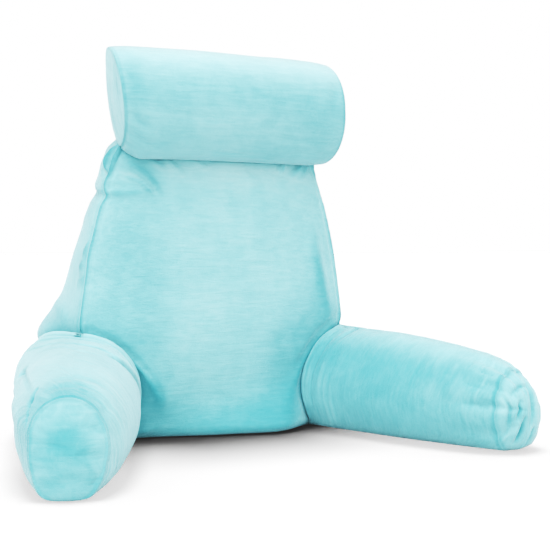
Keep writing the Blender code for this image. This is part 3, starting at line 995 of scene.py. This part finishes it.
def arm_place(name, share, turn, scale=1.0, forward=0.0):
    """Places on an arm by the share of its path and the turn round it, from its outer side over its top."""
    share, turn = np.broadcast_arrays(np.asarray(share, float), turn)
    here, along, across = arm_frame(share)
    half_width, height, belly, sink, squareness = (
        column(ARM_SECTIONS, ARM_COLUMNS, wanted, share) for wanted in ARM_COLUMNS[1:]
    )
    cosine, sine = circle(turn)
    tuck = tuck_relief(name, turn) * near(share, 1 - TUCK_REACH) ** TUCK_EASE
    flank = np.where(sine < 0, LOW_FLANK, 1) * squareness
    side = (half_width - tuck) * scale * np.sign(cosine) * abs(cosine) ** (2 / flank)
    reach = np.where(sine > 0, height * (1 - belly) - tuck, height * (belly + sink))
    z = height * belly + reach * scale * np.sign(sine) * abs(sine) ** (2 / squareness)
    z = (z + np.sqrt(z**2 + FLOOR_SOFTNESS**2)) / 2
    (top, band), (foot, least) = TAPER_TOP, TAPER_FOOT
    low = np.clip((top - z) / band, 0, 1) * np.clip(z / foot, least, 1)
    side = side * (1 - OUTER_TAPER[name] * low * np.clip(3 * cosine, 0, 1))
    z = z * (1 + ROOT_SWELL * hump(share - ROOT_SWELL_PLACE, ROOT_SWELL_REACH))
    forward = forward + END_LEAN[name] * near(share, LEAN_START) ** 2 * np.clip(1 - z / LEAN_HEIGHT, 0, 1)
    flat = here + side[..., None] * across + (forward * np.ones_like(side))[..., None] * along
    mirror = -1 if name == "left" else 1
    return np.stack([mirror * flat[..., 0], flat[..., 1] + SHIFT_Y, z], axis=-1)


def root_shares(name, turn, back):
    """For each line along an arm, the share of its path at which it leaves the back rest."""
    steps = ROOT_SEARCH
    lines = arm_place(name, steps[:, None], turn[None, :])
    tree = BVHTree.FromObject(back, bpy.context.evaluated_depsgraph_get())
    roots = np.zeros(len(turn))
    for line in range(len(turn)):
        for step in range(len(steps) - 1, 0, -1):
            start, end = lines[step, line], lines[step - 1, line]
            length = float(np.linalg.norm(end - start))
            hit = tree.ray_cast(start.tolist(), ((end - start) / length).tolist(), length)
            if hit[0] is not None:
                roots[line] = steps[step] - (steps[step] - steps[step - 1]) * hit[3] / length
                break
    return roots, tree


def dent_roots(back):
    """Draws the back rest in along the seams where its arms are sewn on, and paints the dent's shade into it.
    """
    turn = np.arange(ARM_CELLS[0]) / ARM_CELLS[0]
    seam = KDTree(2 * len(turn))
    for name in ("left", "right"):
        roots, _ = root_shares(name, turn, back)
        for point in arm_place(name, roots, turn):
            seam.insert(point.tolist(), 0)
    seam.balance()
    points = places(back)
    away = np.array([seam.find(point.tolist())[2] for point in points])
    dent = ROOT_DENT * hump(away, ROOT_DENT_REACH) * np.clip(points[:, 2] / ROOT_DENT_CALM, 0, 1)
    put(back, points - normals(back) * dent[:, None])
    # Painted shade in the dent.
    paint_fold_shade(back, dent)


def push_out(points, tree, gap):
    """Moves the points that lie in a closed mesh, or closer to it than the gap, out to the gap."""
    moved = points.copy()
    for i, point in enumerate(points):
        spot, normal, _, away = tree.find_nearest(point.tolist(), PRESSED_REACH)
        if spot is None:
            continue
        outside = (point - np.array(spot)) @ np.array(normal)
        if outside < 0 or away < gap:
            moved[i] = np.array(spot) + np.array(normal) * gap
    return moved


def arm_relief(name, skin, turn, from_root, to_end):
    """How far an arm's skin is pressed in, and the creases in it."""
    around = turn * ARM_ROUND
    x, y = ring(turn, ARM_ROUND)
    depth = fold_relief(from_root, around, ARM_FOLDS[name]) + fold_relief(to_end, around, ARM_END_FOLDS[name])
    depth += pucker_relief(to_end, (x, y), 71, END_PUCKERS) * np.minimum(to_end / RELIEF_START, 1)
    depth += seam_relief(from_root, (x, y), 73)
    creases = 0
    for seed, share, width, length in CREASES:
        creases = creases + share * noise(seed, from_root / width, x / length, y / length)
    root_reach, end_reach = CREASE_REACHES
    creases *= CREASE_LEAST + np.exp(-from_root / root_reach) + np.exp(-to_end / end_reach)
    depth += CREASE_HEIGHT * creases * np.minimum(to_end / CREASE_START, 1)
    swell = swell_relief(skin.reshape(-1, 3), 77).reshape(depth.shape)
    depth += swell * np.minimum(to_end / SWELL_START, 1)
    return depth * np.clip(skin[..., 2] / FLOOR_CALM, 0, 1), creases


def make_arm(name, looks, back):
    sides, rings = ARM_CELLS
    turn = np.arange(sides) / sides
    roots, tree = root_shares(name, turn, back)
    window = np.hanning(2 * ROOT_EASE + 1)
    closed = np.concatenate([roots[-ROOT_EASE:], roots, roots[:ROOT_EASE]])
    roots = np.maximum(np.convolve(closed, window / window.sum(), "valid"), roots)
    tip = 1 - RIM_REACH / ARM_LENGTH
    shares = roots + (tip - roots) * eased(np.linspace(0, 1, rings), EDGE_EASE)[:, None]
    skin = arm_place(name, shares, turn[None, :])
    end = [arm_place(name, 1.0, turn, scale, forward) for scale, forward in tube_cap(ARM_END_HALF)]
    middle = skin[0].mean(axis=0)
    root = [middle + (skin[0] - middle) * scale for scale in ROOT_CAP_SCALES]
    piece = tube_piece("arm_cushion_" + name, np.concatenate([root, skin, end]), looks)

    step = np.linalg.norm(np.diff(skin, axis=0), axis=2)
    from_root = np.concatenate([np.zeros((1, sides)), np.cumsum(step, axis=0)])
    to_end = from_root[-1] - from_root
    caps = (len(root), len(end))
    depth, creases = arm_relief(name, skin, turn + 0 * from_root, from_root, to_end)
    from_end = with_caps(to_end, caps, to_end[:1])
    press_in(piece, with_poles(with_caps(depth, caps)))
    # Painted shade along the end seam.
    paint_seam_shade(piece, with_poles(from_end), ARM_SEAM_SHADE[name])
    # Painted shade in the fine creases.
    paint_fold_shade(piece, with_poles(with_caps(CREASE_SHADE * creases, caps)))
    points = places(piece)
    close = with_poles(with_caps(from_root < ROOT_PRESSED, caps, 1)) > 0.5
    points[close] = push_out(points[close], tree, SLIT)
    put(piece, points)

    lengthwise = with_caps(from_root, caps, 0, from_root[-1:])
    set_tube_weave(piece, lengthwise, *ring(turn + 0 * lengthwise, ARM_STREAK * ARM_ROUND))
    # Tone patches: nap, and painted shade.
    tone = sum(patches(from_end, turn - whole_turn, ARM_PATCHES[name]) - 0.5 for whole_turn in (0, 1))
    set_nap_and_painted_light(piece, with_poles(tone + 0.5))
    return piece


def make_arm_panel(name, looks):
    turn = np.arange(ARM_CELLS[0]) / ARM_CELLS[0]
    half = ARM_END_HALF
    shape, hidden = panel_shape(half, ARM_PANEL_CROWN[name], PANEL_FULLNESS[name])
    rings = np.array([arm_place(name, 1.0, turn, scale, forward) for scale, forward in shape])
    piece = tube_piece("arm_panel_" + name, rings, looks)
    scales = np.array([scale for scale, _ in shape])
    across = half * np.outer(scales, circle(turn)[0])
    up = rings[..., 2]
    distance = (scales[hidden - 1] - scales[:, None]) * half + 0 * across
    depth = pucker_relief(distance, ring(turn + 0 * across, ARM_ROUND), 81, END_PUCKERS)
    depth += fold_relief(across, up, PANEL_FOLDS[name]) + ripple_relief(across, up, ARM_PANEL_RIPPLES[name])
    depth *= np.clip(up / FLOOR_CALM, 0, 1)
    finish_panel(piece, depth, distance, hidden, ARM_SEAM_SHADE[name])
    stretch = (STREAK, 1) if name == "left" else (1, STREAK)
    set_tube_weave(piece, across * stretch[0], up * stretch[1], 0 * up)
    # Tone patches: painted shade, and nap.
    set_nap_and_painted_light(piece, with_poles(patches(across, up, ARM_PANEL_PATCHES[name])))
    return piece


# ---- velour

VELOUR = {
    "Roughness": 0.90,
    "Specular IOR Level": 0.10,
    "Sheen Weight": 0.85,
    "Sheen Roughness": 0.42,
    "Sheen Tint": (0.82, 0.97, 1.0, 1.0),
}
TROUGH_DEPTHS = (0.0003, 0.0065)  # the fold depths over which painted shade grows in a trough, from where it starts to where it is full
# The heights over which a painted highlight grows on a ridge, from where it starts to where it is full.
RIDGE_DEPTHS = (-0.0003, -0.0035)
BUMP = {"Strength": 0.5, "Distance": 0.0012}
DEEPEST = -0.35  # the tone at which the velour looks deepest
# The velour's colours at its tones: painted shade takes a point towards the deeper ones, painted light towards
# the paler.
SKIN_COLOURS = ((0.155, 0.42, 0.47), (0.225, 0.485, 0.53), (0.365, 0.645, 0.682), (0.52, 0.765, 0.788))
END_COLOURS = ((0.145, 0.41, 0.46), (0.21, 0.475, 0.52), (0.34, 0.615, 0.655), (0.50, 0.755, 0.78))


def set_inputs(node, values):
    for name, value in values.items():
        node.inputs[name].default_value = value


class Nodes:
    """Makes and links the nodes of one material."""

    def __init__(self, looks):
        self.nodes = looks.node_tree.nodes
        self.links = looks.node_tree.links

    def attribute(self, name, output="Fac"):
        node = self.nodes.new("ShaderNodeAttribute")
        node.attribute_name = name
        return node.outputs[output]

    def ramp(self, value, low, high, to_low=0.0, to_high=1.0, kind="SMOOTHSTEP"):
        node = self.nodes.new("ShaderNodeMapRange")
        node.interpolation_type = kind
        self.links.new(value, node.inputs["Value"])
        set_inputs(node, {"From Min": low, "From Max": high, "To Min": to_low, "To Max": to_high})
        return node.outputs["Result"]

    def mottle(self, place, spread, scale, detail=3.0, roughness=0.55, distortion=0.0):
        """Uneven tone from -0.5 to 0.5, softer the wider its spread is."""
        node = self.nodes.new("ShaderNodeTexNoise")
        set_inputs(node, {"Scale": scale, "Detail": detail, "Roughness": roughness, "Distortion": distortion})
        self.links.new(place, node.inputs["Vector"])
        return self.ramp(node.outputs["Fac"], 0.5 - spread, 0.5 + spread, -0.5, 0.5)

    def sum(self, terms):
        """The sum of some values, each times its weight."""
        total = None
        for value, weight in terms:
            node = self.nodes.new("ShaderNodeMath")
            node.operation = "MULTIPLY_ADD"
            self.links.new(value, node.inputs[0])
            node.inputs[1].default_value = weight
            if total is None:
                node.inputs[2].default_value = 0.0
            else:
                self.links.new(total, node.inputs[2])
            total = node.outputs["Value"]
        return total

    def colours(self, value, stops):
        node = self.nodes.new("ShaderNodeValToRGB")
        while len(node.color_ramp.elements) < len(stops):
            node.color_ramp.elements.new(0.5)
        for element, (place, colour) in zip(node.color_ramp.elements, stops):
            element.position = place
            element.color = (*colour, 1.0)
        self.links.new(value, node.inputs["Fac"])
        return node.outputs["Color"]


def velour(name, mottle, deepest, deep, middle, pale):
    """Short-pile velour: its nap lies in patches and streaks, with painted shade in its folds and highlight on
    their ridges.

    Mottle is how strong the patches are. The colours are those at the tones DEEPEST, 0, 0.5 and 1.
    """
    looks = bpy.data.materials.new(name)
    looks.use_nodes = True
    make = Nodes(looks)
    shader = looks.node_tree.nodes["Principled BSDF"]
    set_inputs(shader, VELOUR)

    place = make.nodes.new("ShaderNodeTexCoord").outputs["Object"]
    weave = make.attribute("weave", "Vector")
    fold = make.attribute("fold")
    nap_and_painted_light = make.attribute("nap_and_painted_light")
    broad = make.mottle(place, 0.16, scale=11.0, detail=2.0)
    spots = make.mottle(place, 0.16, scale=42.0, roughness=0.6, distortion=0.5)
    streaks = make.mottle(weave, 0.20, scale=190.0, roughness=0.6, distortion=0.6)
    pile = make.mottle(place, 0.20, scale=1300.0, detail=2.0)
    # The fold depth becomes painted shade in a trough and a painted highlight on a ridge.
    painted_trough_shade = make.ramp(fold, *TROUGH_DEPTHS)
    painted_ridge_highlight = make.ramp(fold, *RIDGE_DEPTHS)
    uneven = ((broad, 0.12 * mottle), (spots, 0.12 * mottle), (streaks, 0.12), (pile, 0.12))
    tone = make.sum(((nap_and_painted_light, 1.0), *uneven, (painted_ridge_highlight, 0.28), (painted_trough_shade, -0.40)))
    span = 1.0 - DEEPEST
    tone = make.ramp(tone, DEEPEST, 1.0, kind="LINEAR")
    stops = ((0.0, deepest), (-DEEPEST / span, deep), ((0.5 - DEEPEST) / span, middle), (1.0, pale))
    make.links.new(make.colours(tone, stops), shader.inputs["Base Color"])

    bump = make.nodes.new("ShaderNodeBump")
    set_inputs(bump, BUMP)
    height = make.sum(((streaks, 0.45), (spots, 0.25), (pile, 0.35)))
    make.links.new(height, bump.inputs["Height"])
    make.links.new(bump.outputs["Normal"], shader.inputs["Normal"])
    return looks


# ---- stage

CAMERA_PLACE = (-0.631, -1.471, 0.284)
CAMERA_TURN = math.radians(26.3)
CAMERA_FOCUS = 1060 / 550  # focal length as a share of the image's width
HORIZON = 30 / 550  # how far the horizon is above the middle of the image, as a share of its width
SENSOR = 36.0


def make_camera():
    data = bpy.data.cameras.new("camera")
    data.sensor_width = SENSOR
    data.lens = SENSOR * CAMERA_FOCUS
    data.shift_y = -HORIZON
    data.clip_start = 0.05
    camera = add_object("camera", data)
    camera.location = (CAMERA_PLACE[0], CAMERA_PLACE[1] + SHIFT_Y, CAMERA_PLACE[2])
    camera.rotation_euler = (math.pi / 2, 0, -CAMERA_TURN)
    bpy.context.scene.camera = camera


FLOOR_GLOW = 0.72  # how light the floor's glow is on the pillow
FLOOR_SEEN = 0.12  # the floor's own colour under its lamp
LAMP_FROM = (0.0, 0.09, 1.0)  # the lamps on the floor alone are above the pillow and a little behind it
FLOOR_LAMPS = (  # their power and spread, and whether the arms cast a shadow of them besides the back rest
    ("floor_lamp_back", 12.8, math.radians(26), False),
    ("floor_lamp_all", 8.5, math.radians(26), True),
    ("floor_lamp_wide", 27.0, math.radians(110), True),
)
SKY_GLOW = 0.72
KEY_POWER = 1.9
KEY_FROM = (-0.35, -0.55, 1.0)
KEY_SPREAD = math.radians(80)
FILM = (0.04, 0.17, 0.36, 0.52, 0.64, 0.735, 0.81, 0.875, 0.94)  # how light 0.1, 0.2 and so on to 0.9 comes out
FLOOR_REACH = 30.0


def make_plane(name, grey):
    mesh = bpy.data.meshes.new(name)
    corners = [(FLOOR_REACH * x, FLOOR_REACH * y, 0) for x, y in ((-1, -1), (1, -1), (1, 1), (-1, 1))]
    mesh.from_pydata(corners, [], [(0, 1, 2, 3)])
    plane = add_object(name, mesh)
    looks = bpy.data.materials.new(name)
    looks.use_nodes = True
    shader = looks.node_tree.nodes["Principled BSDF"]
    set_inputs(shader, {"Base Color": (grey, grey, grey, 1), "Roughness": 1, "Specular IOR Level": 0})
    mesh.materials.append(looks)
    return plane


def make_floor(wall):
    """The white floor that the camera sees, and in the same place the one that glows on the pillow.

    Some lamps light the first alone. Those that spare the arms cast a shadow of the wall's pieces only.
    """
    glow = make_plane("floor", FLOOR_GLOW)
    glow.visible_camera = False
    glow.visible_shadow = False
    seen = make_plane("floor_seen", FLOOR_SEEN)
    seen.visible_diffuse = False
    seen.visible_glossy = False
    seen.visible_shadow = False
    lit = bpy.data.collections.new("floor_lit")
    lit.objects.link(seen)
    shading = bpy.data.collections.new("floor_shading")
    for piece in wall:
        shading.objects.link(piece)
    for name, power, spread, shades_arms in FLOOR_LAMPS:
        lamp = make_sun(name, power, LAMP_FROM, spread)
        lamp.light_linking.receiver_collection = lit
        if not shades_arms:
            lamp.light_linking.blocker_collection = shading


def make_sky():
    """A plain sky, white behind the pillow and softer as a light on it."""
    world = bpy.data.worlds.new("studio")
    world.use_nodes = True
    nodes, links = world.node_tree.nodes, world.node_tree.links
    sky = nodes["Background"]
    white = nodes.new("ShaderNodeBackground")
    set_inputs(sky, {"Strength": SKY_GLOW, "Color": (1, 1, 1, 1)})
    set_inputs(white, {"Color": (1, 1, 1, 1)})
    path = nodes.new("ShaderNodeLightPath")
    mix = nodes.new("ShaderNodeMixShader")
    links.new(path.outputs["Is Camera Ray"], mix.inputs[0])
    links.new(sky.outputs[0], mix.inputs[1])
    links.new(white.outputs[0], mix.inputs[2])
    links.new(mix.outputs[0], nodes["World Output"].inputs["Surface"])
    bpy.context.scene.world = world


def make_sun(name, power, from_side, spread):
    data = bpy.data.lights.new(name, "SUN")
    data.energy = power
    data.angle = spread
    light = add_object(name, data)
    light.rotation_euler = Vector(from_side).to_track_quat("Z", "Y").to_euler()
    return light


def make_film():
    view = bpy.context.scene.view_settings
    view.view_transform = "Standard"
    view.use_curve_mapping = True
    curve = view.curve_mapping.curves[3]
    for tenths, out in enumerate(FILM, 1):
        curve.points.new(tenths / 10, out)
    view.curve_mapping.update()


# ---- all of it


def main():
    skin = velour("velour_nap_and_painted_light", 0.8, *SKIN_COLOURS)
    ends = velour("end_velour_nap_and_painted_light", 1.5, *END_COLOURS)
    roll = make_roll(skin)
    back = make_back(skin, roll)
    dent_roots(back)
    made = [
        (roll, "neck_roll", "velour", 0.9),
        (back, "backrest", "velour", 0.8),
        (make_roll_panel("left", -1, ends), "neck_roll_end_left", "end_velour", 0.9),
        (make_roll_panel("right", 1, ends), "neck_roll_end_right", "end_velour", 0.9),
    ]
    for name in ("left", "right"):
        made.append((make_arm(name, skin, back), "arm_" + name, "velour", 0.8))
        made.append((make_arm_panel(name, ends), "arm_end_" + name, "end_velour", 0.7))
    for piece, node, slot, fill in made:
        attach(piece, "root")
        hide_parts(node)
    make_floor([roll, back])
    make_sky()
    make_sun("key", KEY_POWER, KEY_FROM, KEY_SPREAD)
    make_film()
    make_camera()


main()
